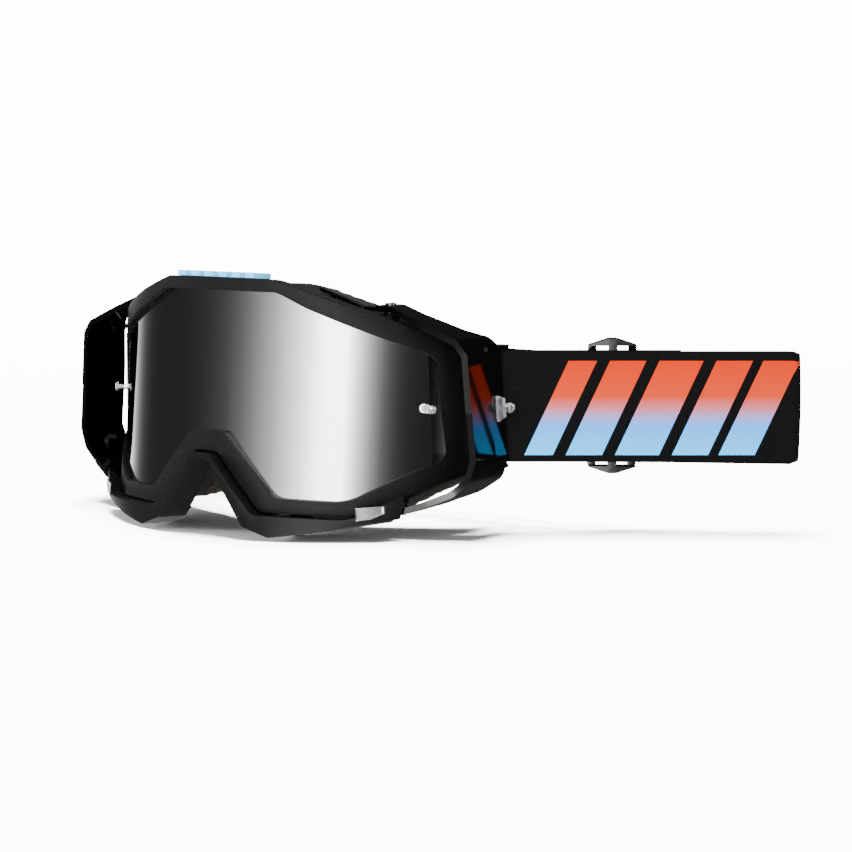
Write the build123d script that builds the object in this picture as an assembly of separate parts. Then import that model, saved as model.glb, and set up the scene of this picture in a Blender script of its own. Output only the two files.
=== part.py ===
"""Off-road riding goggles: a soft moulded frame with a curved mirrored lens, layered face foam,
a pull-off nose guard, two pivoting outriggers and an adjustable elastic head strap.

The row frame is in millimetres: +X is the wearer's left, +Y points back to the wearer, +Z is up.
The origin is the middle of the face seat, level with the centre line of the strap.
The frame, lens, foam and guard share a front frame that leans back with the lens.
"""

import math
import os

from build123d import *

# ---------------------------------------------------------------- driving dimensions
LENS_TILT = 4.8  # degrees that the top of the lens leans back
LENS_AXIS_Y = 6.0  # where the axis of the lens cylinder crosses the level of its posts
LENS_AXIS_Z = -4.6
LENS_R = 92.0  # outer face of the lens
LENS_T = 1.2
LENS_LAP = 2.2  # how far the lens runs in under the lip of the frame
FRAME_REACH = 112.0  # longer than the frame is deep, for cutting blanks

SURROUND_R = 89.5  # front face of the lens surround
SURROUND_Y = -6.2  # its axis lies in front of the lens axis, so it thins towards the temples
WALL = 2.2
FACE_R = 112.0  # the curve of the wearer's face across the foam
FACE_Y = 60.0  # axis of that curve, behind the lens axis
FOAM_LAYERS = {"foam_base_layer": 6.0, "foam_mid_layer": 6.0, "foam_face_fleece": 4.0}
FOAM_GAP = 0.05
FOAM_WIDTH = 12.5
FLANGE_T = 2.2

POST_ANGLE = 53.5  # degrees round the lens from its middle
POST_SHANK_R = 1.0
POST_HEAD_R = 1.75
POST_HEAD_T = 1.2
POST_LENGTH = 5.4

STRAP_W = 43.0
STRAP_T = 1.2
STRAP_ANGLE = 33.4  # the stored strap leaves the outrigger at this angle to X
BAR_X, BAR_Y = 91.6, -24.0  # the bar that the strap loops round
BAR_R = 1.5
BRACKET_T = 1.6
LOOP_R = 3.0  # outside of the loop round the bar
LOOP_RUN = 6.0  # how far the loop's two layers run past the bar
FOLD_U = 113.0  # distance from the bar to the fold of the stored strap
TAIL_U = 70.0  # where the returning layer ends
LAYER_V = LOOP_R - STRAP_T / 2  # from the bar to the middle of either layer
FAR_START = (-BAR_X - LAYER_V, BAR_Y + LOOP_RUN + 2.0)
FAR_CORNERS = [(-94.0, -3.0), (-82.0, 4.0), (112.0, -0.5)]
FAR_RISE = FAR_CORNERS[2][1] - FAR_CORNERS[1][1]
FAR_SLOPE = math.degrees(math.atan2(FAR_RISE, FAR_CORNERS[2][0] - FAR_CORNERS[1][0]))
FAR_RETURN = [(-88.9, -5.0), (-80.5, -0.85), (-28.0, -2.05)]  # the tail of the far run, inside it
STRAP_SAG = 1.5  # the far run hangs this much lower than the near run
FAR_SLIDER_X = -58.0
SLIDER_U = 43.5
SLIDER_W, SLIDER_H = 18.9, 52.4
SLIDER_BAR = 3.3
SLIDER_RAIL = 2.8
SLIDER_SHOULDER = 2.6  # how far the corners lie below the peaks

HINGE_TOP = Vector(58.0, -49.5, 37.5)
HINGE_FOOT = Vector(67.0, -56.5, -38.0)
HINGE_GAP = 0.15
PIN_R = 1.0
PIN_CLEARANCE = 0.06
PIN_HEAD_R, PIN_HEAD_T = 2.1, 0.9
BOSS_R, BOSS_L = 3.2, 4.6
EYE_R = 2.8
EYE_L = 3.2

TOP_VENTS, TOP_VENT_W = (40.0, 48.5, 66.5, 75.0), 6.0
LOW_VENTS, LOW_VENT_W = (37.0, 43.0), 4.4

GUARD_R = 95.5  # front of the nose guard, about its own axis
GUARD_Y = -5.0
GUARD_BACK_R = 83.0
GUARD_GAP = 0.9
GUARD_TONGUES = (30.0, 50.0)
TONGUE_W, TONGUE_T, TONGUE_L = 5.0, 1.6, 6.5
TONGUE_Z = -44.6
TONGUE_CLEARANCE = 0.15

EMBLEM_BARS, EMBLEM_PITCH = 6, 6.6
EMBLEM_Y, EMBLEM_Z, EMBLEM_T = -94.0, 46.82, 2.2

RAIL_PROUD = 0.2  # the brow rail stands this far above the surround

# The outrigger seen from the front, outside edge from its top eye to its lower eye: (x, z, corner radius)
OUTRIGGER_OUTLINE = [(61.0, 39.4, 6), (73.0, 34.6, 20), (90.5, 27.2, 4), (94.6, 22.0, 3), (97.9, -18.6, 4),
                     (95.2, -26.6, 6), (88.5, -32.6, 8), (79.0, -36.8, 12), (70.0, -40.0, 8)]
OUTRIGGER_T = 2.4
OUTRIGGER_INNER_X = 54.8
# The same seen from above: the upper arm, the upright and the lower arm.
UPPER_PLAN = [(50, -55), (76, -55), (92, -53), (101, -51), (101, -27.5), (93.5, -27.5), (84, -37),
              (70, -43.5), (50, -46)]
LOWER_PLAN = [(63.8, -61.5), (70, -61.5), (80, -57.5), (90, -52.5), (101, -51), (101, -27.5),
              (93.5, -27.5), (86, -36), (74, -46), (63.8, -52)]
STEP_Y, STEP_DEPTH = -37.0, 0.8

TAB_SEAT, TAB_LEAN = (95.68, -30.2, 0.0), 4.65  # on the upright, which leans outwards
TAB_PLATE_T = 1.3
TAB_STUD_Y, TAB_STUD_R = -0.6, 1.1
TAB_BALL_X, TAB_BALL_R = 4.6, 1.95

# Half outlines in the front frame, from the top middle round the wearer's left to the bottom middle:
# (x, z, corner radius).
LENS_OUTLINE = [(27.5, 41.8, 8), (38.6, 36.2, 12), (76.2, 20.6, 6), (79.6, -19.0, 6),
                (54.5, -36.6, 14), (29.5, -36.6, 8), (7.6, -12.2, 5)]
SURROUND_OUTLINE = [(24.0, 46.8, 12), (42.5, 41.0, 12), (82.0, 26.5, 7), (85.8, -23.5, 7),
                    (57.5, -42.2, 12), (24.3, -42.2, 5), (5.0, -19.9, 3)]

FRONT = Location((0, LENS_AXIS_Y, LENS_AXIS_Z), (-LENS_TILT, 0, 0))


# ---------------------------------------------------------------- helpers
def outline(half):
    """The closed face of a half outline and its mirror image, standing in the XZ plane."""
    right = [(x, z) for x, z, r in half]
    left = [(-x, z) for x, z in reversed(right)]
    radii = [r for x, z, r in half]
    wire = FilletPolyline(*right, *left, radius=radii + radii[::-1], close=True)
    return Plane.XZ * make_face(wire)


def grown(face, amount):
    """The face with its edge moved outwards, or inwards for a negative amount."""
    return offset(face, amount=amount)


def blank(face, start=0.0, end=FRAME_REACH):
    """The face pushed forwards from start to end, measured from the lens axis."""
    return Location((0, -start, 0)) * extrude(face, end - start, dir=(0, -1, 0))


def drum(radius, y=0.0, height=140.0):
    """An upright cylinder about an axis at y in the front frame."""
    return Location((0, y, 0)) * Cylinder(radius, height)


def box(low, high):
    """A box between two corners."""
    size = [b - a for a, b in zip(low, high)]
    middle = [(a + b) / 2 for a, b in zip(low, high)]
    return Location(middle) * Box(*size)


def other_side(shape):
    """The same piece on the wearer's right."""
    return mirror(shape, about=Plane.YZ)


def on_lens(angle, radius, z=0.0):
    """A plane that faces outwards from the lens cylinder, in the front frame."""
    a = math.radians(angle)
    out = Vector(math.sin(a), -math.cos(a), 0)
    return Plane(origin=out * radius + Vector(0, 0, z), x_dir=(0, 0, 1), z_dir=out)


def face_surface(forward):
    """The wearer's face as a drum, moved forwards by the foam in front of it."""
    return drum(FACE_R, FACE_Y - forward)


# ---------------------------------------------------------------- frame
def main_frame():
    """One flexible moulding: the lens surround, the walls behind it and the flange for the foam."""
    edge = outline(SURROUND_OUTLINE)
    lens_edge = outline(LENS_OUTLINE)
    foam_depth = sum(FOAM_LAYERS.values())
    front = drum(SURROUND_R, SURROUND_Y)
    lip = blank(edge) - blank(lens_edge)
    lip = (lip & front) - drum(LENS_R + 0.1)
    seat = blank(edge) - blank(grown(lens_edge, LENS_LAP + 0.3))
    seat = (seat & front) - drum(LENS_R - LENS_T - 1.6)
    skirt = blank(grown(edge, -1.0)) - blank(grown(edge, -1.0 - WALL))
    skirt = (skirt & drum(LENS_R - 1.0)) - face_surface(foam_depth)
    ledge = blank(edge) - blank(grown(lens_edge, -0.6))
    ledge = (ledge & drum(LENS_R - LENS_T - 1.6)) - drum(LENS_R - LENS_T - 3.2)
    flange = blank(grown(edge, -1.0)) - blank(grown(edge, -FOAM_WIDTH))
    flange = (flange & face_surface(foam_depth + FLANGE_T)) - face_surface(foam_depth)
    groove = blank(grown(lens_edge, LENS_LAP + 0.3)) & drum(LENS_R + 0.1)
    groove -= drum(LENS_R - LENS_T - 1.6)
    shell = (lip + seat + skirt + ledge + flange) - face_surface(foam_depth) - groove
    for window in vent_windows():
        shell -= window
    shell += guard_sockets()
    shell = FRONT * shell
    for boss, bore, relief in hinge_bosses():
        for tool in (relief, other_side(relief)):
            shell -= tool
        shell = shell + boss - bore
        shell = shell + other_side(boss) - other_side(bore)
    return shell


def vent_windows():
    """Air slots through the top and bottom walls, between the surround and the flange."""
    band = drum(LENS_R - 6.5) - face_surface(sum(FOAM_LAYERS.values()) + FLANGE_T + 2.0)
    windows = []
    rows = [(x, TOP_VENT_W, 15, 60) for x in TOP_VENTS] + [(x, LOW_VENT_W, -60, -30) for x in LOW_VENTS]
    for x, width, low, high in rows:
        for side in (1, -1):
            slot = box((side * x - width / 2, -90, low), (side * x + width / 2, 0, high))
            windows.append(slot & band)
    return windows


def guard_sockets():
    """Sleeves under the bottom wall that take the tongues of the nose guard."""
    sleeves = Part()
    half = TONGUE_W / 2 + 1.2
    for x in GUARD_TONGUES:
        for side in (1, -1):
            front = tongue_root(x + half) + 0.4
            rear = tongue_root(x) + TONGUE_L + 0.6
            low = (side * x - half, front, TONGUE_Z - 1.2)
            high = (side * x + half, rear, TONGUE_Z + 5.2)
            sleeves += box(low, high) - tongue(side * x, TONGUE_CLEARANCE)
    return sleeves


def hinge_frame(at):
    """A plane at a point of the hinge axis, facing up along it."""
    along = (HINGE_TOP - HINGE_FOOT).normalized()
    return Plane(origin=at, x_dir=(1, 0, 0), z_dir=along)


def along_hinge(at, radius, low, high):
    """A round bar about the hinge axis, from low to high measured along it from a point."""
    align = (Align.CENTER, Align.CENTER, Align.MIN)
    return hinge_frame(at) * Location((0, 0, low)) * Cylinder(radius, high - low, align=align)


def hinge_bosses():
    """The bosses of the frame that hold the two pins of one outrigger, each with its bore and eye relief."""
    half = EYE_L / 2 + HINGE_GAP
    top = (along_hinge(HINGE_TOP, BOSS_R, -half - BOSS_L, -half),
           along_hinge(HINGE_TOP, PIN_R, -12, 0),
           along_hinge(HINGE_TOP, EYE_R + 0.4, -half, half + 4))
    foot = (along_hinge(HINGE_FOOT, BOSS_R, half, half + BOSS_L),
            along_hinge(HINGE_FOOT, PIN_R, 0, 12),
            along_hinge(HINGE_FOOT, EYE_R + 0.4, -half - 4, half))
    return [top, foot]


def vent_filter(x_low, x_high, z_low, z_high):
    """A strip of open foam that backs one row of air slots."""
    edge = outline(SURROUND_OUTLINE)
    gap = 1.0 + WALL + 0.1
    strip = blank(grown(edge, -gap)) - blank(grown(edge, -gap - 1.6))
    strip &= drum(LENS_R - 5.2)
    strip -= face_surface(sum(FOAM_LAYERS.values()) + FLANGE_T + 0.2)
    strip = FRONT * (strip & box((x_low, -95, z_low), (x_high, 0, z_high)))
    return strip - along_hinge(HINGE_TOP, BOSS_R + 0.2, -12, 0)


# ---------------------------------------------------------------- lens
def lens():
    """A cylindrical lens with its edge under the lip of the frame and a hole for each post."""
    face = grown(outline(LENS_OUTLINE), LENS_LAP)
    plate = (blank(face) & drum(LENS_R)) - drum(LENS_R - LENS_T)
    for angle in (POST_ANGLE, -POST_ANGLE):
        hole = on_lens(angle, LENS_R - 4) * Cylinder(POST_SHANK_R + 0.05, 12)
        plate -= hole
    return FRONT * plate


def lens_seal():
    """A soft bead behind the edge of the lens."""
    edge = outline(LENS_OUTLINE)
    bead = blank(grown(edge, LENS_LAP)) - blank(grown(edge, 0.4))
    return FRONT * ((bead & drum(LENS_R - LENS_T - 0.05)) - drum(LENS_R - LENS_T - 1.55))


def tearoff_post():
    """The headed post that tear-off films hook over."""
    inside = 3.0
    seat = on_lens(POST_ANGLE, LENS_R - LENS_T - inside)
    length = POST_LENGTH + LENS_T + inside
    align = (Align.CENTER, Align.CENTER, Align.MIN)
    shank = Cylinder(POST_SHANK_R, length - POST_HEAD_T, align=align)
    head = Location((0, 0, length - POST_HEAD_T)) * Cylinder(POST_HEAD_R, POST_HEAD_T, align=align)
    collar = Location((0, 0, inside + LENS_T + 0.05)) * Cylinder(1.6, 0.6, align=align)
    return FRONT * (seat * (shank + head + collar))


def post_washer():
    """The push-on washer that holds a post from inside the lens."""
    seat = on_lens(POST_ANGLE, LENS_R - LENS_T - 0.15)
    ring = Cylinder(3.0, 1.0) - Cylinder(POST_SHANK_R, 4)
    return FRONT * (seat * Location((0, 0, -0.6)) * ring)


# ---------------------------------------------------------------- face foam
def foam_layer(index):
    """One layer of the face foam, cut to the flange and curved to the face."""
    thickness = list(FOAM_LAYERS.values())
    front = sum(thickness[index:])
    back = sum(thickness[index + 1:])
    edge = outline(SURROUND_OUTLINE)
    inset = 0.6 + 0.5 * index
    ring = blank(grown(edge, -inset), -60, FRAME_REACH)
    ring -= blank(grown(edge, -FOAM_WIDTH - 1.5 + 0.6 * index), -60, FRAME_REACH)
    return FRONT * ((ring & face_surface(front - FOAM_GAP)) - face_surface(back))


# ---------------------------------------------------------------- nose guard and trim
def tongue_root(x):
    """How far forward the back of the guard lies at a place across the front frame."""
    return -math.sqrt(GUARD_BACK_R ** 2 - x ** 2)


def tongue(x, clearance):
    """A flat tongue of the guard, or its pocket in the frame when it has clearance."""
    root = tongue_root(x)
    low = (x - TONGUE_W / 2 - clearance, root - 1.0, TONGUE_Z - clearance)
    high = (x + TONGUE_W / 2 + clearance, root + TONGUE_L + clearance, TONGUE_Z + TONGUE_T + clearance)
    return box(low, high)


def nose_guard():
    """The stiff lip below the lens, folded round the nose, with tongues that plug into the frame."""
    edge = outline(SURROUND_OUTLINE)
    right = [(4.3, -23.2), (20.5, -47.6), (30.7, -51.2), (45.0, -48.5), (59.2, -45.0), (71.5, -41.9),
             (74.5, -30.0), (40.0, -15.0)]
    left = [(-x, z) for x, z in reversed(right)]
    lip = blank(Plane.XZ * make_face(Polyline(*right, (0, -8), *left, close=True)))
    lip -= blank(grown(edge, GUARD_GAP), -60, FRAME_REACH)
    lip = (lip & drum(GUARD_R, GUARD_Y)) - drum(GUARD_BACK_R)
    for x in GUARD_TONGUES:
        lip = lip + tongue(x, 0.0) + tongue(-x, 0.0)
    lip = FRONT * lip
    room = box((61.5, -63.2, -60), (90, 0, 0))
    return lip - room - other_side(room)


def guard_badge():
    """A blank shield on the end of the nose guard."""
    face = Plane.XZ * make_face(Polyline((60.2, -38.2), (68.2, -37.0), (68.4, -40.0), (64.7, -42.2),
                                         (60.6, -43.0), close=True))
    plate = blank(face) & drum(GUARD_R + 0.85, GUARD_Y)
    return FRONT * (plate - drum(GUARD_R + 0.05, GUARD_Y))


def brow_emblem():
    """A row of raised slanted bars on top of the brow."""
    bars = Part()
    for i in range(EMBLEM_BARS):
        x = (i - (EMBLEM_BARS - 1) / 2) * EMBLEM_PITCH
        face = Polyline((x - 2.6, 0), (x + 1.4, 0), (x + 3.4, 9.0), (x - 0.6, 9.0), close=True)
        bar = Location((0, EMBLEM_Y, EMBLEM_Z)) * extrude(make_face(face), EMBLEM_T)
        bars += bar
    return FRONT * bars


def brow_rail():
    """The gloss rail along the top of the frame, from the brow to the hinge of the outrigger."""
    edge = outline(SURROUND_OUTLINE)
    strip = blank(grown(edge, RAIL_PROUD)) - blank(grown(edge, -0.95))
    strip = strip & box((31, -68.5, 30), (51.5, -57, 60))
    return FRONT * (strip - face_surface(sum(FOAM_LAYERS.values()) + 0.3))


# ---------------------------------------------------------------- outriggers
def outrigger():
    """A stiff C-shaped arm from the brow to the cheek, with the bar that the strap loops round."""
    right = [(x, z) for x, z, r in OUTRIGGER_OUTLINE]
    radii = [r for x, z, r in OUTRIGGER_OUTLINE]
    loop = FilletPolyline((20, 39.4), *right, (20, -41.0), radius=[1] + radii + [1], close=True)
    face = Plane.XZ * make_face(loop)
    skin = blank(face) - blank(grown(face, -OUTRIGGER_T))
    upper = extrude(make_face(Polyline(*UPPER_PLAN, close=True)), 60)
    lower = extrude(make_face(Polyline(*LOWER_PLAN, close=True)), -60)
    arm = skin & (upper + lower)
    arm &= box((OUTRIGGER_INNER_X, -90, -60), (110, 0, 60))
    step = blank(face) - blank(grown(face, -STEP_DEPTH))
    arm -= step & box((90, STEP_Y, -18), (110, 0, 21))
    for end in (1, -1):
        near, far = sorted((end * (STRAP_W / 2 + 0.8), end * (STRAP_W / 2 + 0.8 + BRACKET_T)))
        arm += box((BAR_X - BAR_R, -38, near), (94.6, BAR_Y + BAR_R, far))
    arm += Location((BAR_X, BAR_Y, 0)) * Cylinder(BAR_R, STRAP_W + 3.0)
    for at, end in ((HINGE_TOP, 1), (HINGE_FOOT, -1)):
        arm += along_hinge(at, EYE_R, -EYE_L / 2, EYE_L / 2)
        boss_side = sorted((-end * EYE_L / 2, -end * (EYE_L / 2 + 8)))
        head_side = sorted((end * EYE_L / 2, end * (EYE_L / 2 + 8)))
        arm -= along_hinge(at, 3.6, *boss_side)
        arm -= along_hinge(at, PIN_HEAD_R + 0.3, *head_side)
        arm -= along_hinge(at, PIN_R + PIN_CLEARANCE, -EYE_L, EYE_L)
    return arm


def hinge_pins():
    """The two headed pins of one outrigger, pressed into the bosses of the frame."""
    pins = Part()
    for at, end in ((HINGE_TOP, 1), (HINGE_FOOT, -1)):
        neck = EYE_L / 2 + 0.1
        pins += along_hinge(at, PIN_R, *sorted((end * neck, -end * (EYE_L / 2 + BOSS_L - 0.4))))
        pins += along_hinge(at, PIN_HEAD_R, *sorted((end * neck, end * (neck + PIN_HEAD_T))))
    return pins


def tab_post():
    """A clear plate with a ball-headed stud on the rear of the outrigger."""
    outline_yz = Polyline((-3.2, -5.0), (1.6, -3.6), (1.6, 3.6), (-3.2, 5.0), close=True)
    plate = extrude(Plane.YZ * make_face(outline_yz), TAB_PLATE_T)
    align = (Align.CENTER, Align.CENTER, Align.MIN)
    stud = Location((TAB_PLATE_T, TAB_STUD_Y, 0), (0, 90, 0)) * Cylinder(TAB_STUD_R, 2.6, align=align)
    ball = Location((TAB_BALL_X, TAB_STUD_Y, 0)) * Sphere(TAB_BALL_R)
    return Location(TAB_SEAT, (0, -TAB_LEAN, 0)) * (plate + stud + ball)


# ---------------------------------------------------------------- head strap
def band(points, radii, height, low):
    """A flat strap that stands on edge along a path seen from above."""
    path = FilletPolyline(*points, radius=radii) if radii else Polyline(*points)
    return Location((0, 0, low)) * extrude(trace(path, STRAP_T), height)


def strap_frame(x, y, angle):
    """The frame of a straight stretch of strap: X along it from a bar, Y towards the head."""
    return Location((x, y, 0), (0, 0, angle))


NEAR = strap_frame(BAR_X, BAR_Y, STRAP_ANGLE)


def near_point(u, v):
    """A point of the near run, seen from above."""
    a = math.radians(STRAP_ANGLE)
    return (BAR_X + u * math.cos(a) - v * math.sin(a), BAR_Y + u * math.sin(a) + v * math.cos(a))


def head_strap():
    """The printed elastic: the near run, the fold and the far run behind the face opening."""
    near = [near_point(LOOP_RUN + 2.0, -LAYER_V), near_point(FOLD_U, -LAYER_V)]
    back = [near_point(FOLD_U, 1.6), near_point(64, 7.2)]
    start = Location((0, 0, -STRAP_W / 2)) * extrude(trace(Polyline(*near), STRAP_T), STRAP_W)
    centre = NEAR * Location((FOLD_U, (1.6 - LAYER_V) / 2, 0))
    turn_r = (1.6 + LAYER_V) / 2
    ring = Cylinder(turn_r + STRAP_T / 2, STRAP_W) - Cylinder(turn_r - STRAP_T / 2, STRAP_W)
    fold = centre * (ring & box((0, -9, -60), (9, 9, 60)))
    far = band([back[0], back[1], *reversed(FAR_CORNERS), FAR_START], [60, 30, 5, 4], STRAP_W,
               -STRAP_W / 2 - STRAP_SAG)
    return start + fold + far


def strap_loop(place):
    """The strap where it turns round a bar, with a short run of both layers."""
    ring = Cylinder(LOOP_R, STRAP_W) - Cylinder(LOOP_R - STRAP_T, STRAP_W)
    ring &= box((-9, -9, -60), (0, 9, 60))
    for side in (1, -1):
        v = sorted((side * LOOP_R, side * (LOOP_R - STRAP_T)))
        ring += box((0, v[0], -STRAP_W / 2), (LOOP_RUN, v[1], STRAP_W / 2))
    return place * ring


def slider():
    """A three-bar slide with peaked ends: a middle bar before the tail and two outer bars behind it."""
    front, back = -LOOP_R + STRAP_T + 0.35, LOOP_R + 0.35
    deep = back + 1.5
    half, peak, shoulder = SLIDER_W / 2, SLIDER_H / 2, SLIDER_H / 2 - SLIDER_SHOULDER
    corners = [(-half, shoulder), (-1.5, peak), (1.5, peak), (half, shoulder),
               (half, -shoulder), (1.5, -peak), (-1.5, -peak), (-half, -shoulder)]
    plate = Plane.XZ * make_face(FilletPolyline(*corners, radius=1.0, close=True))
    plate = blank(plate, -deep, -front)
    opening = peak - SLIDER_RAIL
    slide = plate - box((-half - 1, front - 1, -opening), (half + 1, deep + 1, opening))
    slide += box((-SLIDER_BAR / 2, front, -peak + 1), (SLIDER_BAR / 2, LOOP_R - STRAP_T - 0.35, peak - 1))
    for end in (1, -1):
        low, high = sorted((end * half, end * (half - SLIDER_BAR)))
        slide += plate & box((low, back, -peak), (high, deep, peak))
    return slide


def near_tail():
    """The end of the elastic that comes back from the bar on the wearer's left."""
    return NEAR * box((LOOP_RUN + 2.0, LOOP_R - STRAP_T, -STRAP_W / 2), (TAIL_U, LOOP_R, STRAP_W / 2))


def far_tail():
    """The end of the elastic that comes back from the bar on the wearer's right."""
    start = (-BAR_X + LAYER_V, BAR_Y + LOOP_RUN + 2.0)
    return band([start, *FAR_RETURN], [4, 5], STRAP_W, -STRAP_W / 2 - STRAP_SAG)


def far_slider():
    """The slider of the far run, between its two layers."""
    a = math.radians(FAR_SLOPE)
    y = FAR_CORNERS[1][1] + (FAR_SLIDER_X - FAR_CORNERS[1][0]) * math.tan(a) - LAYER_V
    return Location((FAR_SLIDER_X, y, -STRAP_SAG), (0, 0, 180 + FAR_SLOPE)) * slider()


if __name__ == "__main__":
    os.makedirs("parts", exist_ok=True)
    made = {
        "main_frame": main_frame(),
        "lens": lens(),
        "lens_seal": lens_seal(),
        "nose_guard": nose_guard(),
        "brow_emblem": brow_emblem(),
        "head_strap": head_strap(),
        "strap_tail_left": near_tail(),
        "strap_tail_right": far_tail(),
        "strap_loop_left": strap_loop(NEAR),
        "strap_loop_right": strap_loop(strap_frame(-BAR_X, BAR_Y, 90)),
        "slider_left": NEAR * Location((SLIDER_U, 0, 0)) * slider(),
        "slider_right": far_slider(),
    }
    for i, name in enumerate(FOAM_LAYERS):
        made[name] = foam_layer(i)
    pairs = {
        "tearoff_post": tearoff_post(),
        "post_washer": post_washer(),
        "guard_badge": guard_badge(),
        "brow_rail": brow_rail(),
        "outrigger": outrigger(),
        "hinge_pins": hinge_pins(),
        "tab_post": tab_post(),
        "vent_filter_top": vent_filter(34, 80, 15, 60),
        "vent_filter_low": vent_filter(33, 46, -60, -20),
    }
    for name, shape in pairs.items():
        made[name + "_left"] = shape
        made[name + "_right"] = other_side(shape)
    for name, shape in made.items():
        export_step(shape, f"parts/{name}.step")
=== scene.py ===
# %% [markdown]
# # Motocross goggles
#
# Off-road goggles have a soft frame, a curved mirrored lens, a stack of face foam, a stiff nose guard
# that pulls off, two hinged outriggers and a printed elastic strap. The measured model is loaded first and
# is never moved. Everything below gives it finishes, or stands in for one of its plain parts with a
# better shaped piece in exactly the same place.

# %% Load the measured model
import math

import bpy
from mathutils import Matrix, Vector


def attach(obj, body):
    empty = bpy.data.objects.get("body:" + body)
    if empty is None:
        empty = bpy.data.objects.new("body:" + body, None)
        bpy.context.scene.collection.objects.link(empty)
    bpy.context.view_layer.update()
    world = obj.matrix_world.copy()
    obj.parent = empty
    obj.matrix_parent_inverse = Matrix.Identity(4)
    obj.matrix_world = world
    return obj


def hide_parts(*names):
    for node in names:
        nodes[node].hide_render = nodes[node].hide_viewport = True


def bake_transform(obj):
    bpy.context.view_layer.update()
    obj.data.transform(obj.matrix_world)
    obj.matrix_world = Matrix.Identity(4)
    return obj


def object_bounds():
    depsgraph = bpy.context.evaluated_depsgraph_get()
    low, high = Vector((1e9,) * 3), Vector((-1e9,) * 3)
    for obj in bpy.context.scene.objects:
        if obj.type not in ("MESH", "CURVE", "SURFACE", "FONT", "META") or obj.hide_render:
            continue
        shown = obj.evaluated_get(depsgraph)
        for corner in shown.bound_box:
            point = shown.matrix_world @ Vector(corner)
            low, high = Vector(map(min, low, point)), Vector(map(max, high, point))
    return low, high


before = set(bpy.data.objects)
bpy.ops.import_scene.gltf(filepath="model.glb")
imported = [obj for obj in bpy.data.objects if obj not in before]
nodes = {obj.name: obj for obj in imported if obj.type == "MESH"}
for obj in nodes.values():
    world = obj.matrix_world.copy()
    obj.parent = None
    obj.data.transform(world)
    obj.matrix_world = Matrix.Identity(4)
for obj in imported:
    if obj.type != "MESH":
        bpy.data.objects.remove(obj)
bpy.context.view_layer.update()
MM = 0.001

# %% [markdown]
# Operators in Blender act on everything selected, and loading leaves all parts selected. Two small
# helpers keep that under control: one makes a single object the only one picked, and one applies every
# modifier on it so that the finished mesh holds its own shape.


# %% Helpers for picking and finishing
def pick(piece):
    """Make one piece the only one selected, and the active one."""
    bpy.ops.object.select_all(action="DESELECT")
    piece.select_set(True)
    bpy.context.view_layer.objects.active = piece
    return piece


def apply_modifiers(piece):
    """Turn every modifier of a piece into real geometry."""
    pick(piece)
    for modifier in list(piece.modifiers):
        bpy.ops.object.modifier_apply(modifier=modifier.name)
    return piece


def settle(piece):
    """Put a piece's place into its mesh, so that its object sits at the origin."""
    pick(piece)
    bpy.ops.object.transform_apply(location=True, rotation=True, scale=True)
    return piece


def smooth(piece, degrees=35):
    """Shade a piece smoothly, and keep edges sharper than an angle crisp."""
    pick(piece)
    bpy.ops.object.shade_smooth_by_angle(angle=math.radians(degrees))
    return piece


# %% [markdown]
# ## Finishes
#
# A finish is a node tree on a Principled shader. Values that are the same all over go straight onto the
# shader's own sockets. Only what varies over the surface, such as weave or fine grain, comes from
# textures, and those read Object coordinates so that they stay put on the piece at its real scale.


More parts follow.
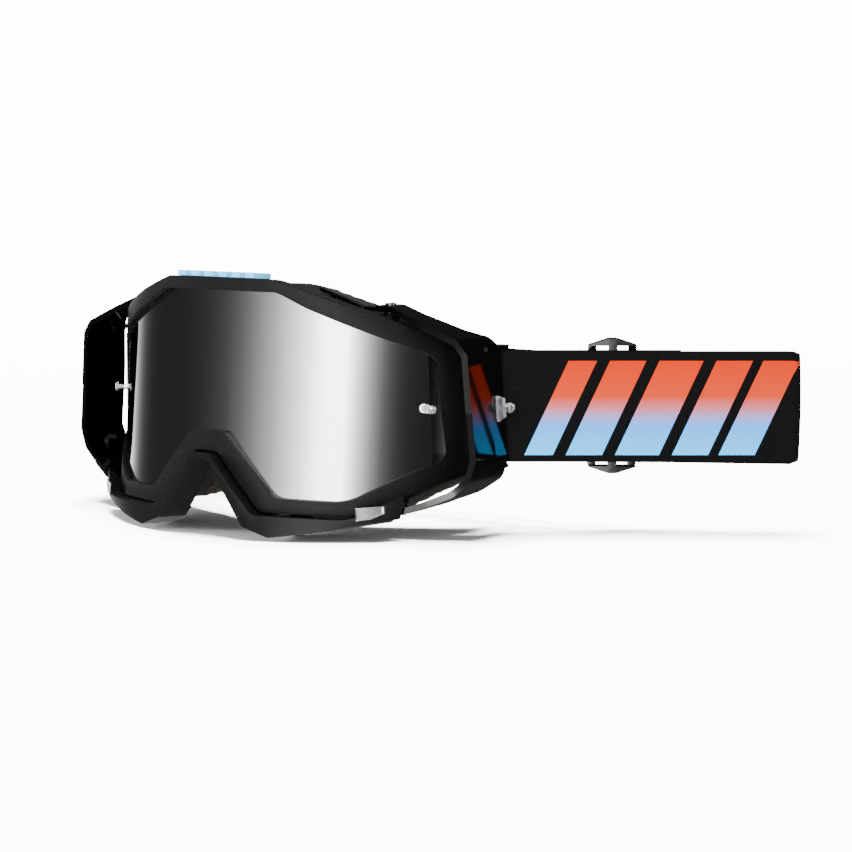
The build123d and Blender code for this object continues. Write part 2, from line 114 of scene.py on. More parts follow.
# %% Helpers for building node trees
class Finish:
    """A material under construction, with short ways to add and join nodes."""

    def __init__(self, name, **sockets):
        self.material = bpy.data.materials.new(name)
        self.material.use_nodes = True
        self.nodes = self.material.node_tree.nodes
        self.links = self.material.node_tree.links
        self.shader = self.nodes["Principled BSDF"]
        for socket, value in sockets.items():
            self.shader.inputs[socket.replace("_", " ")].default_value = value

    def add(self, kind, **settings):
        node = self.nodes.new(kind)
        for key, value in settings.items():
            setattr(node, key, value)
        return node

    def feed(self, socket, value):
        """Join an output to a socket, or set the socket to a number."""
        if isinstance(value, bpy.types.NodeSocket):
            self.links.new(value, socket)
        else:
            socket.default_value = value

    def math(self, operation, a, b=0.0, c=None):
        node = self.add("ShaderNodeMath", operation=operation)
        self.feed(node.inputs[0], a)
        self.feed(node.inputs[1], b)
        if c is not None:
            self.feed(node.inputs[2], c)
        return node.outputs[0]

    def place(self, turn=0.0, origin=(0, 0, 0)):
        """Object coordinates moved to an origin and turned about Z, split into X, Y and Z."""
        coordinates = self.add("ShaderNodeTexCoord")
        mapping = self.add("ShaderNodeMapping", vector_type="TEXTURE")
        mapping.inputs["Location"].default_value = origin
        mapping.inputs["Rotation"].default_value = (0, 0, turn)
        self.links.new(coordinates.outputs["Object"], mapping.inputs["Vector"])
        split = self.add("ShaderNodeSeparateXYZ")
        self.links.new(mapping.outputs[0], split.inputs[0])
        return mapping.outputs[0], split.outputs

    def on_strip(self, length, width):
        """Metres along a strip and metres up from its middle, from its own UV map."""
        coordinates = self.add("ShaderNodeUVMap")
        split = self.add("ShaderNodeSeparateXYZ")
        self.links.new(coordinates.outputs[0], split.inputs[0])
        along = self.math("MULTIPLY", split.outputs[0], length)
        return along, self.math("MULTIPLY_ADD", split.outputs[1], width, -width / 2)

    def noise(self, scale, detail=3.0, roughness=0.5):
        vector, _ = self.place()
        node = self.add("ShaderNodeTexNoise")
        self.links.new(vector, node.inputs["Vector"])
        node.inputs["Scale"].default_value = scale
        node.inputs["Detail"].default_value = detail
        node.inputs["Roughness"].default_value = roughness
        return node.outputs[0]

    def ramp(self, value, stops):
        """Colours along a value, from (position, colour) pairs."""
        node = self.add("ShaderNodeValToRGB")
        elements = node.color_ramp.elements
        while len(elements) < len(stops):
            elements.new(0.5)
        for element, (position, colour) in zip(elements, stops):
            element.position = position
            element.color = (*colour, 1.0)
        self.links.new(value, node.inputs[0])
        return node.outputs[0]

    def bump(self, height, depth, strength=1.0):
        """Raise the surface by a height from 0 to 1, depth metres deep."""
        node = self.add("ShaderNodeBump")
        node.inputs["Strength"].default_value = strength
        node.inputs["Distance"].default_value = depth
        self.feed(node.inputs["Height"], height)
        self.links.new(node.outputs[0], self.shader.inputs["Normal"])
        return self

    def roughness(self, value, low, high):
        """Let roughness run between two values."""
        spread = self.add("ShaderNodeMapRange")
        self.feed(spread.inputs["Value"], value)
        spread.inputs["To Min"].default_value = low
        spread.inputs["To Max"].default_value = high
        self.links.new(spread.outputs[0], self.shader.inputs["Roughness"])
        return self

    def colour(self, value):
        self.links.new(value, self.shader.inputs["Base Color"])
        return self


# %% [markdown]
# The frame is a soft rubbery moulding with a fine spark-eroded grain, so its highlights are broad. The
# guard is the same colour in a harder plastic and is slightly smoother. Outriggers, rails and sliders
# are polished black, with a very faint waviness that moulded gloss plastic always has.


# %% Moulded plastic finishes
def matte_finish(name, colour, low, high, grain):
    """A charcoal moulding whose grain and slight patchiness show in its highlights."""
    finish = Finish(name, Specular_IOR_Level=0.16)
    patches = finish.noise(60, 4)
    dark = tuple(c * 0.82 for c in colour)
    finish.colour(finish.ramp(patches, [(0.35, dark), (0.65, colour)]))
    finish.roughness(finish.noise(400, 2), low, high)
    return finish.bump(finish.noise(2600, 2), grain, 0.5).material


def gloss_finish(name, colour, low=0.04, high=0.1):
    """Polished black plastic with faint waviness and a little handling haze."""
    finish = Finish(name, Specular_IOR_Level=0.5)
    haze = finish.noise(90, 5)
    lighter = tuple(c * 1.6 for c in colour)
    finish.colour(finish.ramp(haze, [(0.4, colour), (0.75, lighter)]))
    finish.roughness(haze, low, high)
    return finish.bump(finish.noise(45, 1), 0.00004, 0.5).material


FRAME_FINISH = matte_finish("frame_elastomer", (0.0125, 0.0125, 0.0140), 0.46, 0.58, 0.00003)
GUARD_FINISH = matte_finish("guard_plastic", (0.0100, 0.0100, 0.0112), 0.34, 0.46, 0.00002)
GLOSS_FINISH = gloss_finish("gloss_black", (0.0015, 0.0015, 0.0018))
SLIDER_FINISH = gloss_finish("slider_black", (0.002, 0.002, 0.0022), 0.14, 0.24)
print("moulded finishes made")

# %% [markdown]
# A flash mirror lens is polycarbonate under a thin metal coat, so it behaves as a slightly dark metal.
# Its roughness is very low. Clear posts and tab studs are real clear plastic, with transmission.


# %% Lens, clear plastic, metal and rubber finishes
def mirror_finish():
    finish = Finish("lens_mirror", Metallic=1.0, Coat_Weight=0.25, Coat_Roughness=0.02)
    tint = finish.noise(14, 2)
    finish.colour(finish.ramp(tint, [(0.3, (0.50, 0.50, 0.51)), (0.7, (0.56, 0.56, 0.57))]))
    finish.roughness(finish.noise(30, 3), 0.035, 0.07)
    return finish.material


def clear_finish():
    finish = Finish("clear_plastic", IOR=1.5, Transmission_Weight=0.85, Specular_IOR_Level=0.6)
    frost = finish.noise(700, 2)
    finish.colour(finish.ramp(frost, [(0.3, (0.80, 0.81, 0.83)), (0.7, (0.95, 0.95, 0.96))]))
    finish.roughness(frost, 0.03, 0.12)
    return finish.material


def brushed_finish(name, colour, low, high):
    """Metal with fine lines along X."""
    finish = Finish(name, Metallic=1.0)
    vector, _ = finish.place()
    stretch = finish.add("ShaderNodeMapping")
    stretch.inputs["Scale"].default_value = (0.06, 1, 1)
    finish.links.new(vector, stretch.inputs["Vector"])
    lines = finish.add("ShaderNodeTexNoise")
    lines.inputs["Scale"].default_value = 6000
    finish.links.new(stretch.outputs[0], lines.inputs["Vector"])
    dark = tuple(c * 0.8 for c in colour)
    finish.colour(finish.ramp(lines.outputs[0], [(0.35, dark), (0.65, colour)]))
    finish.roughness(lines.outputs[0], low, high)
    return finish.bump(lines.outputs[0], 0.00001, 0.4).material


def painted_finish(name, colour):
    """A printed or painted pad with a slightly uneven satin surface."""
    finish = Finish(name, Specular_IOR_Level=0.5)
    uneven = finish.noise(300, 3)
    pale = tuple(min(1.0, c * 1.08) for c in colour)
    finish.colour(finish.ramp(uneven, [(0.35, colour), (0.7, pale)]))
    finish.roughness(uneven, 0.28, 0.4)
    return finish.bump(uneven, 0.00002, 0.3).material


MIRROR_FINISH = mirror_finish()
CLEAR_FINISH = clear_finish()
BADGE_FINISH = brushed_finish("badge_silver", (0.62, 0.62, 0.63), 0.2, 0.34)
PIN_FINISH = brushed_finish("pin_steel", (0.16, 0.16, 0.17), 0.25, 0.4)
EMBLEM_FINISH = painted_finish("emblem_blue", (0.10, 0.50, 0.92))
SEAL_FINISH = matte_finish("seal_rubber", (0.012, 0.012, 0.012), 0.6, 0.75, 0.00003)
print("lens, metal and painted finishes made")

# %% [markdown]
# Foam is full of small cells, and its fleece face is a mat of short fibres. Both are rough all over, and
# fleece also has sheen, which is the pale edge glow of standing fibres.


# %% Foam and fleece finishes
def foam_finish(name, colour, cell, depth, sheen=0.0):
    """Open foam or fleece: small cells or fibres that raise the surface, with painted shade in the low pits
    and a painted highlight on the raised tops.
    """
    finish = Finish(name, Specular_IOR_Level=0.15, Sheen_Weight=sheen, Sheen_Roughness=0.6)
    vector, _ = finish.place()
    cells = finish.add("ShaderNodeTexVoronoi")
    cells.inputs["Scale"].default_value = cell
    finish.links.new(vector, cells.inputs["Vector"])
    fibres = finish.noise(cell * 1.7, 6, 0.7)
    height = finish.math("MULTIPLY", cells.outputs["Distance"], fibres)
    # Painted shade and highlight: the colour follows the bump's height, darker in the pits and paler on the
    # raised tops.
    dark = tuple(c * 0.55 for c in colour)
    pale = tuple(c * 1.15 for c in colour)
    finish.colour(finish.ramp(height, [(0.05, dark), (0.25, colour), (0.5, pale)]))
    finish.roughness(fibres, 0.85, 1.0)
    return finish.bump(height, depth, 0.8).material


BASE_FOAM = foam_finish("foam_base", (0.060, 0.052, 0.044), 1500, 0.0003)
MID_FOAM = foam_finish("foam_mid", (0.085, 0.073, 0.060), 1500, 0.0003)
FLEECE = foam_finish("foam_fleece", (0.120, 0.100, 0.080), 1100, 0.0004, 0.5)
FILTER_FOAM = foam_finish("filter_foam", (0.012, 0.012, 0.012), 900, 0.0004)
print("foam finishes made")

# %% [markdown]
# ## The strap's print
#
# The elastic is black with a printed band of slanted bars. Colour runs from orange at the top through
# salmon to light blue at the bottom. The print is drawn in the strap's own directions: distance along
# it, and height.

# %% The route of the elastic, seen from above
STRAP_WIDTH = 43.0 * MM
STRAP_THICK = 1.2 * MM
STRAP_TURN = math.radians(33.4)
STRAP_SAG = 1.5 * MM
LEFT_BAR = Vector((91.6, -24.0)) * MM
RIGHT_BAR = Vector((-91.6, -24.0)) * MM
LAYER = 2.4 * MM
FOLD_AT = 113.0 * MM
FOLD_BACK = 1.6 * MM
TAIL_AT = 70.0 * MM
ARC_STEP = math.radians(9)
RUN_STEP = 2.0 * MM


def from_left_bar(along, across):
    """A point beside the left bar, along the stored strap and across it."""
    turned = Vector((along, across))
    turned.rotate(Matrix.Rotation(STRAP_TURN, 2))
    return LEFT_BAR + turned


def rounded(corners):
    """A route through (point, radius) corners, with an arc at each corner that has a radius."""
    route = [corners[0][0]]
    for (before, _), (corner, radius), (after, _) in zip(corners, corners[1:], corners[2:]):
        back, on = (before - corner).normalized(), (after - corner).normalized()
        half = back.angle(on) / 2
        middle = corner + (back + on).normalized() * radius / math.sin(half)
        first, last = corner + back * radius / math.tan(half), corner + on * radius / math.tan(half)
        sweep = math.pi - 2 * half
        turn = math.copysign(1, back.x * on.y - back.y * on.x)
        count = max(2, round(sweep / ARC_STEP))
        for i in range(count + 1):
            spoke = first - middle
            spoke.rotate(Matrix.Rotation(-turn * sweep * i / count, 2))
            route.append(middle + spoke)
        assert (route[-1] - last).length < 0.01 * MM
    return route + [corners[-1][0]]


def half_turn(middle, start, direction):
    """A half circle about a point, from start, turning one way."""
    count = round(math.pi / ARC_STEP)
    points = []
    for i in range(count + 1):
        spoke = start - middle
        spoke.rotate(Matrix.Rotation(direction * math.pi * i / count, 2))
        points.append(middle + spoke)
    return points


def filled(route):
    """The route with extra points, so that none is further than a step from the next."""
    full = [route[0]]
    for a, b in zip(route, route[1:]):
        if (b - a).length < 1e-7:
            continue
        count = max(1, math.ceil((b - a).length / RUN_STEP))
        full += [a.lerp(b, i / count) for i in range(1, count + 1)]
    return full


def length_of(route):
    return sum((b - a).length for a, b in zip(route, route[1:]))


fold_middle = from_left_bar(FOLD_AT, (FOLD_BACK - LAYER) / 2)
near_tail = [from_left_bar(TAIL_AT, LAYER), from_left_bar(0, LAYER)]
near_turn = half_turn(LEFT_BAR, near_tail[-1], 1)
fold = half_turn(fold_middle, from_left_bar(FOLD_AT, -LAYER), 1)
near_route = filled(near_tail + near_turn + fold)
loop_start = length_of(filled(near_tail + near_turn))
fold_start = loop_start + FOLD_AT

far_corners = [(fold[-1], 0), (from_left_bar(64 * MM, 7.2 * MM), 60 * MM),
               (Vector((112, -0.5)) * MM, 30 * MM), (Vector((-82, 4)) * MM, 5 * MM),
               (Vector((-94, -3)) * MM, 4 * MM), (Vector((-94, -24)) * MM, 0)]
far_turn = half_turn(RIGHT_BAR, far_corners[-1][0], 1)
tail_corners = [(far_turn[-1], 0), (Vector((-88.9, -5)) * MM, 4 * MM), (Vector((-80.5, -0.85)) * MM, 5 * MM),
                (Vector((-28, -2.05)) * MM, 0)]
far_route = filled(rounded(far_corners) + far_turn + rounded(tail_corners))
print("near half", round(length_of(near_route) / MM), "mm, far half", round(length_of(far_route) / MM), "mm")

# %% [markdown]
# The print is a row of plain leaning bars, worked out from distance along the strap and height.

# %% Print
PRINT_LOW, PRINT_HIGH = -18.8 * MM, 17.8 * MM
PRINT_SLANT = 0.46
PRINT_BARS = [(18, 29), (34, 48), (53, 70), (75, 89), (93, 107)]


def webbing(finish, along, up):
    """The ribs and cross threads of woven elastic, as a height from 0 to 1."""
    ribs = finish.math("SINE", finish.math("MULTIPLY", up, 2 * math.pi / (0.9 * MM)))
    threads = finish.math("SINE", finish.math("MULTIPLY", along, 2 * math.pi / (0.55 * MM)))
    both = finish.math("MULTIPLY", ribs, threads)
    return finish.math("MULTIPLY_ADD", both, 0.5, 0.5)


def strap_print(finish, along, up):
    """1 where the slanted bars are printed and 0 elsewhere."""
    slanted = finish.math("MULTIPLY_ADD", up, -PRINT_SLANT, along)
    mask = None
    for low, high in PRINT_BARS:
        after = finish.math("GREATER_THAN", slanted, low * MM)
        before = finish.math("LESS_THAN", slanted, high * MM)
        bar = finish.math("MULTIPLY", after, before)
        mask = bar if mask is None else finish.math("ADD", mask, bar)
    above = finish.math("GREATER_THAN", up, PRINT_LOW)
    below = finish.math("LESS_THAN", up, PRINT_HIGH)
    return finish.math("MULTIPLY", mask, finish.math("MULTIPLY", above, below))


def stitches(finish, along, up, rows):
    """1 on short stitches in rows across the strap at the given distances along it."""
    found = None
    dash = finish.math("FRACT", finish.math("DIVIDE", up, 2.6 * MM))
    dash = finish.math("LESS_THAN", dash, 0.72)
    for row in rows:
        near = finish.math("ABSOLUTE", finish.math("SUBTRACT", along, row))
        line = finish.math("MULTIPLY", finish.math("LESS_THAN", near, 0.28 * MM), dash)
        found = line if found is None else finish.math("MAXIMUM", found, line)
    return found


def elastic_finish(name, length, seams, print_start=None):
    """Black woven elastic with sewn seams and painted shade in its weave's grooves, and with the print from
    a place on, if one is given.
    """
    finish = Finish(name, Specular_IOR_Level=0.05)
    along, up = finish.on_strip(length, STRAP_WIDTH)
    weave = webbing(finish, along, up)
    # Painted shade and highlight: the weave's grooves are coloured darker and its raised ribs lighter,
    # following the bump's height.
    surface = finish.ramp(weave, [(0.2, (0.0012, 0.0012, 0.0013)), (0.9, (0.0034, 0.0034, 0.0036))])
    height = weave
    if print_start is not None:
        distance = finish.math("SUBTRACT", along, print_start)
        level = finish.add("ShaderNodeMapRange")
        finish.feed(level.inputs["Value"], up)
        level.inputs["From Min"].default_value = PRINT_LOW
        level.inputs["From Max"].default_value = PRINT_HIGH
        bands = [(0.0, (0.045, 0.50, 1.0)), (0.30, (0.06, 0.34, 0.90)), (0.50, (0.50, 0.13, 0.15)),
                 (0.62, (0.55, 0.045, 0.012)), (1.0, (0.52, 0.024, 0.001))]
        ink = finish.ramp(level.outputs[0], bands)
        mix = finish.add("ShaderNodeMix", data_type="RGBA")
        finish.feed(mix.inputs["Factor"], strap_print(finish, distance, up))
        finish.links.new(surface, mix.inputs["A"])
        finish.links.new(ink, mix.inputs["B"])
        surface = mix.outputs["Result"]
    sewn = stitches(finish, along, up, seams)
    thread = finish.add("ShaderNodeMix", data_type="RGBA")
    finish.feed(thread.inputs["Factor"], sewn)
    finish.links.new(surface, thread.inputs["A"])
    thread.inputs["B"].default_value = (0.02, 0.02, 0.022, 1)
    height = finish.math("ADD", height, sewn)
    finish.colour(thread.outputs["Result"])
    finish.roughness(weave, 0.62, 0.8)
    return finish.bump(height, 0.00009, 0.55).material


# %% [markdown]
# Each half of the elastic is one long flat grid, as elastic comes off a roll. It is laid along its route
# point by point, then Solidify gives it thickness and Bevel rounds its woven edges. The grid's UV map
# stays with the cloth, so the weave and the print follow it round every bend.


# %% Lay the elastic along its route
ACROSS = 14
FOLD_SPREAD = 2.6 * MM


def ribbon(name, route, drop, outside, inside, fold_place=None):
    """Elastic laid along a route. drop gives how low it hangs at a distance along it."""
    bpy.ops.mesh.primitive_grid_add(x_subdivisions=len(route) - 1, y_subdivisions=ACROSS, size=2)
    piece = bpy.context.object
    piece.name = name
    ways = []
    for i in range(len(route)):
        way = (route[min(i + 1, len(route) - 1)] - route[max(i - 1, 0)]).normalized()
        ways.append(Vector((way.y, -way.x)))
    travelled = [0.0]
    for a, b in zip(route, route[1:]):
        travelled.append(travelled[-1] + (b - a).length)
    total = travelled[-1]
    layer = piece.data.uv_layers.active.data
    placed = {}
    for vertex in piece.data.vertices:
        i = round((vertex.co.x + 1) / 2 * (len(route) - 1))
        across = vertex.co.y
        distance = travelled[i]
        near_fold = 0.0 if fold_place is None else math.exp(-((distance - fold_place) / FOLD_SPREAD) ** 2)
        height = across * STRAP_WIDTH / 2 * (1 - 0.03 * near_fold * across ** 4) - drop(distance)
        swell = (1 - across ** 2) * (0.10 + 0.5 * near_fold) * MM
        spot = route[i] + ways[i] * swell
        placed[vertex.index] = (distance / total, (across + 1) / 2)
        vertex.co = (spot.x, spot.y, height)
    for corner, loop in zip(layer, piece.data.loops):
        corner.uv = placed[loop.vertex_index]
    piece.data.materials.append(outside)
    piece.data.materials.append(inside)
    thick = piece.modifiers.new("thickness", "SOLIDIFY")
    thick.thickness = STRAP_THICK
    thick.offset = 0
    thick.material_offset = 1
    thick.material_offset_rim = 1
    soft = piece.modifiers.new("soft_edges", "BEVEL")
    soft.width = 0.4 * MM
    soft.segments = 3
    soft.limit_method = "ANGLE"
    soft.angle_limit = math.radians(60)
    apply_modifiers(piece)
    smooth(piece, 50)
    print(name, round(total / MM), "mm long,", len(piece.data.polygons), "faces")
    return piece


def near_drop(distance):
    """The near half hangs level and starts to drop at the fold."""
    return STRAP_SAG * min(1.0, max(0.0, (distance - fold_start) / (math.pi * 2.0 * MM)))


near_length, far_length = length_of(near_route), length_of(far_route)
near_seams = [3 * MM, 6 * MM]
far_seams = [far_length - 3 * MM, far_length - 6 * MM]
near_half = ribbon("strap_near_half", near_route, near_drop,
                   elastic_finish("strap_near_outside", near_length, near_seams, loop_start),
                   elastic_finish("strap_near_inside", near_length, near_seams),
                   fold_start + 3.1 * MM)
far_half = ribbon("strap_far_half", far_route, lambda distance: STRAP_SAG,
                  elastic_finish("strap_far_outside", far_length, far_seams),
                  elastic_finish("strap_far_inside", far_length, far_seams))

# %% Hide the measured strap parts that the two halves stand in for, and put each half's place into its mesh
for half, stood_for in ((near_half, ["strap_loop_left", "strap_tail_left"]),
                        (far_half, ["strap_loop_right", "strap_tail_right", "head_strap"])):
    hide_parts(*stood_for)
loop_end = from_left_bar(6 * MM, 0)
run_start = from_left_bar(30 * MM, 0)
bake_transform(near_half)
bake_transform(far_half)
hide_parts("head_strap")

# %% [markdown]
# ## Moulded parts with softened edges
#
# No real moulding has a perfectly sharp edge: each has a small radius that catches light as a thin line.
# The measured parts are exact but sharp. So each visible moulding is copied, its loose triangles are
# joined, its flat faces are merged, and its corners are bevelled. A wide bevel on a crowded corner can
# drag faces off the part, so each copy gets the widest one that stays close to the measured surface.
# The outriggers are too crowded for any bevel, and stay crisp.


# %% Copy a measured part and soften its edges
def copy_of(node, name):
    """A separate copy of a measured part, with its triangles joined."""
    piece = nodes[node].copy()
    piece.data = nodes[node].data.copy()
    piece.name = name
    piece.parent = None
    for key in list(piece.keys()):
        if key.startswith("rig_"):
            del piece[key]
    bpy.context.scene.collection.objects.link(piece)
    pick(piece)
    bpy.ops.object.mode_set(mode="EDIT")
    bpy.ops.mesh.select_all(action="SELECT")
    bpy.ops.mesh.customdata_custom_splitnormals_clear()
    bpy.ops.mesh.remove_doubles(threshold=0.002 * MM)
    bpy.ops.object.mode_set(mode="OBJECT")
    piece.data.materials.clear()
    return piece


def furthest_off(piece, node):
    """How far the corners and the middles of a copy's triangles are from the measured part, at most."""
    piece.data.calc_loop_triangles()
    corners = [vertex.co for vertex in piece.data.vertices]
    middles = [sum((corners[i] for i in triangle.vertices), Vector()) / 3
               for triangle in piece.data.loop_triangles]
    return max((nodes[node].closest_point_on_mesh(point)[1] - point).length for point in corners + middles)


def bevelled(node, name, width, segments, corner):
    """A copy of a measured part with its flats merged and a bevel of this width on its corners."""
    piece = copy_of(node, name)
    flat = piece.modifiers.new("merge_flats", "DECIMATE")
    flat.decimate_type = "DISSOLVE"
    flat.angle_limit = math.radians(0.6)
    split = piece.modifiers.new("split_flats", "TRIANGULATE")
    split.ngon_method = "BEAUTY"
    if width:
        bevel = piece.modifiers.new("soft_edges", "BEVEL")
        bevel.width = width
        bevel.segments = segments
        bevel.limit_method = "ANGLE"
        bevel.angle_limit = math.radians(corner)
        bevel.use_clamp_overlap = False
    return apply_modifiers(piece)


def softened(node, name, finish, body, radius, segments=2, corner=28):
    """Stand in for a measured moulding with the widest bevel, up to radius, that keeps its shape."""
    for share in (1.0, 0.6, 0.35, 0.2, 0.0):
        piece = bevelled(node, name, radius * share, segments, corner)
        if furthest_off(piece, node) <= radius:
            break
        bpy.data.objects.remove(piece)
    smooth(piece, corner)
    piece.data.materials.append(finish)
    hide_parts(node)
    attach(piece, body)
    print(name, len(piece.data.polygons), "faces, bevel", round(radius * share / MM, 2), "mm")
    return piece


SIDES = ("left", "right")
softened("main_frame", "frame_shell", FRAME_FINISH, "frame", 0.45 * MM)
softened("nose_guard", "nose_guard_shell", GUARD_FINISH, "nose_guard", 0.4 * MM)
for side in SIDES:
    softened("outrigger_" + side, "outrigger_arm_" + side, GLOSS_FINISH,
             "outrigger_" + side, 0.45 * MM, 3)
    softened("brow_rail_" + side, "brow_rail_trim_" + side, GLOSS_FINISH, "frame", 0.3 * MM)
    softened("slider_" + side, "strap_slider_" + side, SLIDER_FINISH, "slider_" + side,
             0.35 * MM, 3)
    softened("guard_badge_" + side, "badge_shield_" + side, BADGE_FINISH, "nose_guard",
             0.15 * MM)
softened("brow_emblem", "brow_bars", EMBLEM_FINISH, "frame", 0.4 * MM, 3)

# %% [markdown]
# The shield on each end of the guard is a stamped plate: a raised rim round a sunk blank panel. Its front
# faces are selected by their direction, inset for the rim, and pushed in.

# %% Sink the panel of each shield
RIM, SUNK = 0.55 * MM, 0.22 * MM
for side in SIDES:
    shield = pick(bpy.data.objects["badge_shield_" + side])
    bpy.ops.object.mode_set(mode="EDIT")
    bpy.ops.mesh.select_all(action="DESELECT")
    bpy.ops.object.mode_set(mode="OBJECT")
    outward = Vector((0.68 if side == "left" else -0.68, -0.73, 0.0)).normalized()
    for face in shield.data.polygons:
        face.select = face.normal.dot(outward) > 0.93
    bpy.ops.object.mode_set(mode="EDIT")
    bpy.context.tool_settings.mesh_select_mode = (False, False, True)
    bpy.ops.mesh.inset(thickness=RIM, depth=-SUNK, use_boundary=True)
    bpy.ops.object.mode_set(mode="OBJECT")
    smooth(shield, 28)
    print(shield.name, "panel", sum(face.select for face in shield.data.polygons), "faces")

# %% [markdown]
# ## Finishes on the parts whose shape is already right


# %% Dress the remaining parts
def dress(node, finish):
    """Give a measured part its finish."""
    part = nodes[node]
    part.data.materials.clear()
    part.data.materials.append(finish)


dress("lens", MIRROR_FINISH)
dress("lens_seal", SEAL_FINISH)
for side in SIDES:
    dress("tearoff_post_" + side, CLEAR_FINISH)
    dress("post_washer_" + side, CLEAR_FINISH)
    dress("tab_post_" + side, CLEAR_FINISH)
    dress("hinge_pins_" + side, PIN_FINISH)
    dress("vent_filter_top_" + side, FILTER_FOAM)
    dress("vent_filter_low_" + side, FILTER_FOAM)
print("dressed")

# %% [markdown]
# ## Face foam
#
# Three layers are laminated: two of open foam, and a fleece that touches the skin. Cut foam swells a
# little between its glued faces, and its edges round off. Each layer is remeshed into small even faces,
# blown up slightly as cloth with pressure inside, and its movement is capped so that the layers still
# stack. A fine uneven nap is then raised on it.

# %% Plump one layer of foam
SWELL_FRAMES = 10
FOAM_PRESSURE = 4


def cap_movement(piece, before, most):
    """Pull back every point that has moved further than it may."""
    for vertex, start in zip(piece.data.vertices, before):
        move = vertex.co - start
        if move.length > most:
            vertex.co = start + move * (most / move.length)


def plump(node, name, finish, voxel, most, nap):
    """A soft layer that stands in for a plain measured one."""
    piece = copy_of(node, name)
    remesh = piece.modifiers.new("even_faces", "REMESH")
    remesh.mode = "VOXEL"
    remesh.voxel_size = voxel
    apply_modifiers(piece)
    before = [vertex.co.copy() for vertex in piece.data.vertices]
    cloth = piece.modifiers.new("pressure", "CLOTH")
    cloth.settings.quality = 4
    cloth.settings.mass = 0.15
    cloth.settings.use_pressure = True
    cloth.settings.uniform_pressure_force = FOAM_PRESSURE
    cloth.settings.effector_weights.gravity = 0
    cloth.point_cache.frame_start = 1
    cloth.point_cache.frame_end = SWELL_FRAMES
    for number in range(1, SWELL_FRAMES + 1):
        bpy.context.scene.frame_set(number)
    apply_modifiers(piece)
    cap_movement(piece, before, most)
    moved = max((v.co - b).length for v, b in zip(piece.data.vertices, before))
    print(name, "swelled by up to", round(moved / MM, 2), "mm")
    relax = piece.modifiers.new("relax", "SMOOTH")
    relax.iterations = 3
    fine = piece.modifiers.new("fine", "SUBSURF")
    fine.levels = fine.render_levels = 1
    pile = bpy.data.textures.new(name + "_pile", "CLOUDS")
    pile.noise_scale = 0.9 * MM
    raised = piece.modifiers.new("nap", "DISPLACE")
    raised.texture = pile
    raised.strength = nap
    raised.mid_level = 0.5
    apply_modifiers(piece)
    smooth(piece, 180)
    piece.data.materials.append(finish)
    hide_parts(node)
    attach(piece, "frame")
    print(name, len(piece.data.polygons), "faces")
    return piece


plump("foam_base_layer", "foam_base", BASE_FOAM, 1.9 * MM, 0.35 * MM, 0.12 * MM)
plump("foam_mid_layer", "foam_middle", MID_FOAM, 1.9 * MM, 0.35 * MM, 0.12 * MM)
plump("foam_face_fleece", "foam_fleece", FLEECE, 1.6 * MM, 0.6 * MM, 0.35 * MM)

# %% [markdown]
# ## Studio
#
# A pale floor runs up to a bright surround. Mirrors and gloss plastic show whatever stands round them, so
# the studio also has a dome of dark flags with soft lights in it. Only reflections see the dome, and it
# is what gives the lens its single bright stripe.

# %% [markdown]
# Near the object the floor is plain matte and takes its shadow. Further out it blends into the same white
# as the surround, so that no horizon shows.

# %% Floor
WHITE = 14.0
low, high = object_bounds()
bpy.ops.mesh.primitive_plane_add(size=14, location=(0, 0, low[2]))
floor = settle(bpy.context.object)
floor.name = "floor"
floor.visible_glossy = False
floor.visible_diffuse = False
pale = Finish("pale_floor", Roughness=0.9, Specular_IOR_Level=0.0)
pale.shader.inputs["Base Color"].default_value = (0.95, 0.95, 0.95, 1)
vector, _ = pale.place()
reach = pale.add("ShaderNodeVectorMath", operation="LENGTH")
pale.links.new(vector, reach.inputs[0])
outer = pale.add("ShaderNodeMapRange", interpolation_type="SMOOTHSTEP")
pale.links.new(reach.outputs["Value"], outer.inputs["Value"])
outer.inputs["From Min"].default_value = 0.28
outer.inputs["From Max"].default_value = 0.80
backdrop = pale.add("ShaderNodeEmission")
backdrop.inputs["Strength"].default_value = WHITE
merge = pale.add("ShaderNodeMixShader")
pale.links.new(outer.outputs[0], merge.inputs[0])
pale.links.new(pale.shader.outputs[0], merge.inputs[1])
pale.links.new(backdrop.outputs[0], merge.inputs[2])
pale.links.new(merge.outputs[0], pale.nodes["Material Output"].inputs["Surface"])
floor.data.materials.append(pale.material)

# %% [markdown]
# The dome holds one tall soft light that dies away slowly on its left and quickly on its right, a broad
# dim one far out on one side, and two narrow strips far out on the other for thin highlights on gloss
# edges. The top is open. Each light is set by its bearing round the object, its half width and how fast
# its left and right edges die away, all in degrees, and by its brightness.


# %% Dome of flags and soft lights
DOME_R = 1.7
FLAG_DARK = 0.035
glow = Finish("flag_dome_glow")
_, (dome_x, dome_y, dome_z) = glow.place()
bearing = glow.math("MULTIPLY", glow.math("ARCTAN2", dome_x, glow.math("MULTIPLY", dome_y, -1.0)),
                    math.degrees(1))


def tall_light(middle, half_width, fade_left, fade_right, bright):
    """A light that stands full height at a bearing, and dies away on either side."""
    off_middle = glow.math("SUBTRACT", bearing, middle)
    past_left = glow.math("MAXIMUM", glow.math("SUBTRACT", -half_width, off_middle), 0.0)
    past_right = glow.math("MAXIMUM", glow.math("SUBTRACT", off_middle, half_width), 0.0)
    left = glow.math("DIVIDE", past_left, fade_left)
    right = glow.math("DIVIDE", past_right, fade_right)
    fade = glow.math("EXPONENT", glow.math("MULTIPLY", glow.math("ADD", left, right), -1.0))
    return glow.math("MULTIPLY", fade, bright)


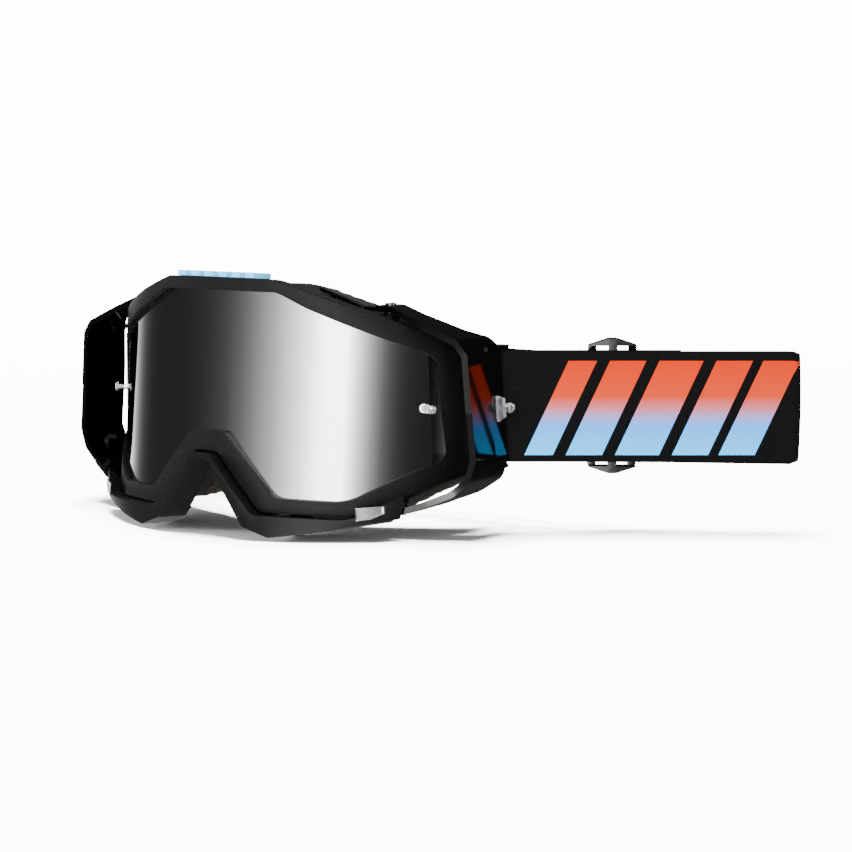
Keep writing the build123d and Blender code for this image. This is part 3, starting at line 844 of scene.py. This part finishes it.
TALL_LIGHTS = [(27, 5, 11.2, 5.0, 10.5), (-122, 13, 5, 5, 2.0), (97, 3, 2, 2, 7.0), (118, 2, 2, 2, 5.0)]
side_light = FLAG_DARK
for settings in TALL_LIGHTS:
    side_light = glow.math("ADD", tall_light(*settings), side_light)
bpy.ops.mesh.primitive_uv_sphere_add(segments=96, ring_count=48, radius=DOME_R)
dome = settle(bpy.context.object)
dome.name = "flag_dome"
for ray in ("camera", "diffuse", "transmission", "volume_scatter", "shadow"):
    setattr(dome, "visible_" + ray, False)


def band(name, start, full, bright):
    """Brightness that rises with height on the dome, between two heights given in degrees."""
    rise = glow.add("ShaderNodeMapRange", interpolation_type="SMOOTHSTEP")
    rise.label = name
    glow.feed(rise.inputs["Value"], dome_z)
    rise.inputs["From Min"].default_value = DOME_R * math.sin(math.radians(start))
    rise.inputs["From Max"].default_value = DOME_R * math.sin(math.radians(full))
    rise.inputs["To Min"].default_value = 0.0
    rise.inputs["To Max"].default_value = bright
    return rise.outputs[0]


above = band("open_top", 35, 75, 0.5)
below = band("floor_bounce", -22, -60, 0.3)
total_light = glow.math("ADD", glow.math("ADD", side_light, above), below)
light = glow.add("ShaderNodeEmission")
glow.links.new(total_light, light.inputs["Strength"])
glow.links.new(light.outputs[0], glow.nodes["Material Output"].inputs["Surface"])
dome.data.materials.append(glow.material)

# %% Surround
SOFT_SURROUND = 0.45
world = bpy.data.worlds.new("surround")
world.use_nodes = True
path = world.node_tree.nodes.new("ShaderNodeLightPath")
strength = world.node_tree.nodes.new("ShaderNodeMapRange")
strength.inputs["To Min"].default_value = SOFT_SURROUND
strength.inputs["To Max"].default_value = WHITE
world.node_tree.links.new(path.outputs["Is Camera Ray"], strength.inputs["Value"])
background = world.node_tree.nodes["Background"]
background.inputs["Color"].default_value = (1, 1, 1, 1)
world.node_tree.links.new(strength.outputs[0], background.inputs["Strength"])
bpy.context.scene.world = world


# %% Lights
def soft_light(name, position, target, size, power):
    """A square soft light that faces a point."""
    data = bpy.data.lights.new(name, "AREA")
    data.size = size
    data.energy = power
    lamp = bpy.data.objects.new(name, data)
    bpy.context.scene.collection.objects.link(lamp)
    toward = Vector(target) - Vector(position)
    lamp.matrix_world = Matrix.Translation(position) @ toward.to_track_quat("-Z", "Y").to_matrix().to_4x4()
    lamp.visible_glossy = False
    return lamp


def only_for(lamp, *pieces):
    """Let a light shine on these pieces and nothing else."""
    group = bpy.data.collections.new("lit_by_" + lamp.name)
    for piece in pieces:
        group.objects.link(piece)
    lamp.light_linking.receiver_collection = group


soft_light("left_key", (-1.3, -0.9, 0.15), (0, 0, 0), 0.6, 72)
only_for(soft_light("strap_light", (0.5, -1.3, 0.5), (0.12, 0, 0), 0.8, 62), near_half, far_half,
         bpy.data.objects["brow_bars"])
only_for(soft_light("floor_light", (-0.2, 0.15, 2.4), (0, 0.1, 0), 1.2, 830), floor)

# %% Camera
FOCAL = 106.5
CAMERA_AT = Vector((0.6004, -0.8484, 0.1100))
VIEW = Vector((-0.5461, 0.8290, -0.1208))
camera_data = bpy.data.cameras.new("camera")
camera_data.lens = FOCAL
camera = bpy.data.objects.new("camera", camera_data)
bpy.context.scene.collection.objects.link(camera)
camera.matrix_world = Matrix.Translation(CAMERA_AT) @ VIEW.to_track_quat("-Z", "Y").to_matrix().to_4x4()
bpy.context.scene.camera = camera
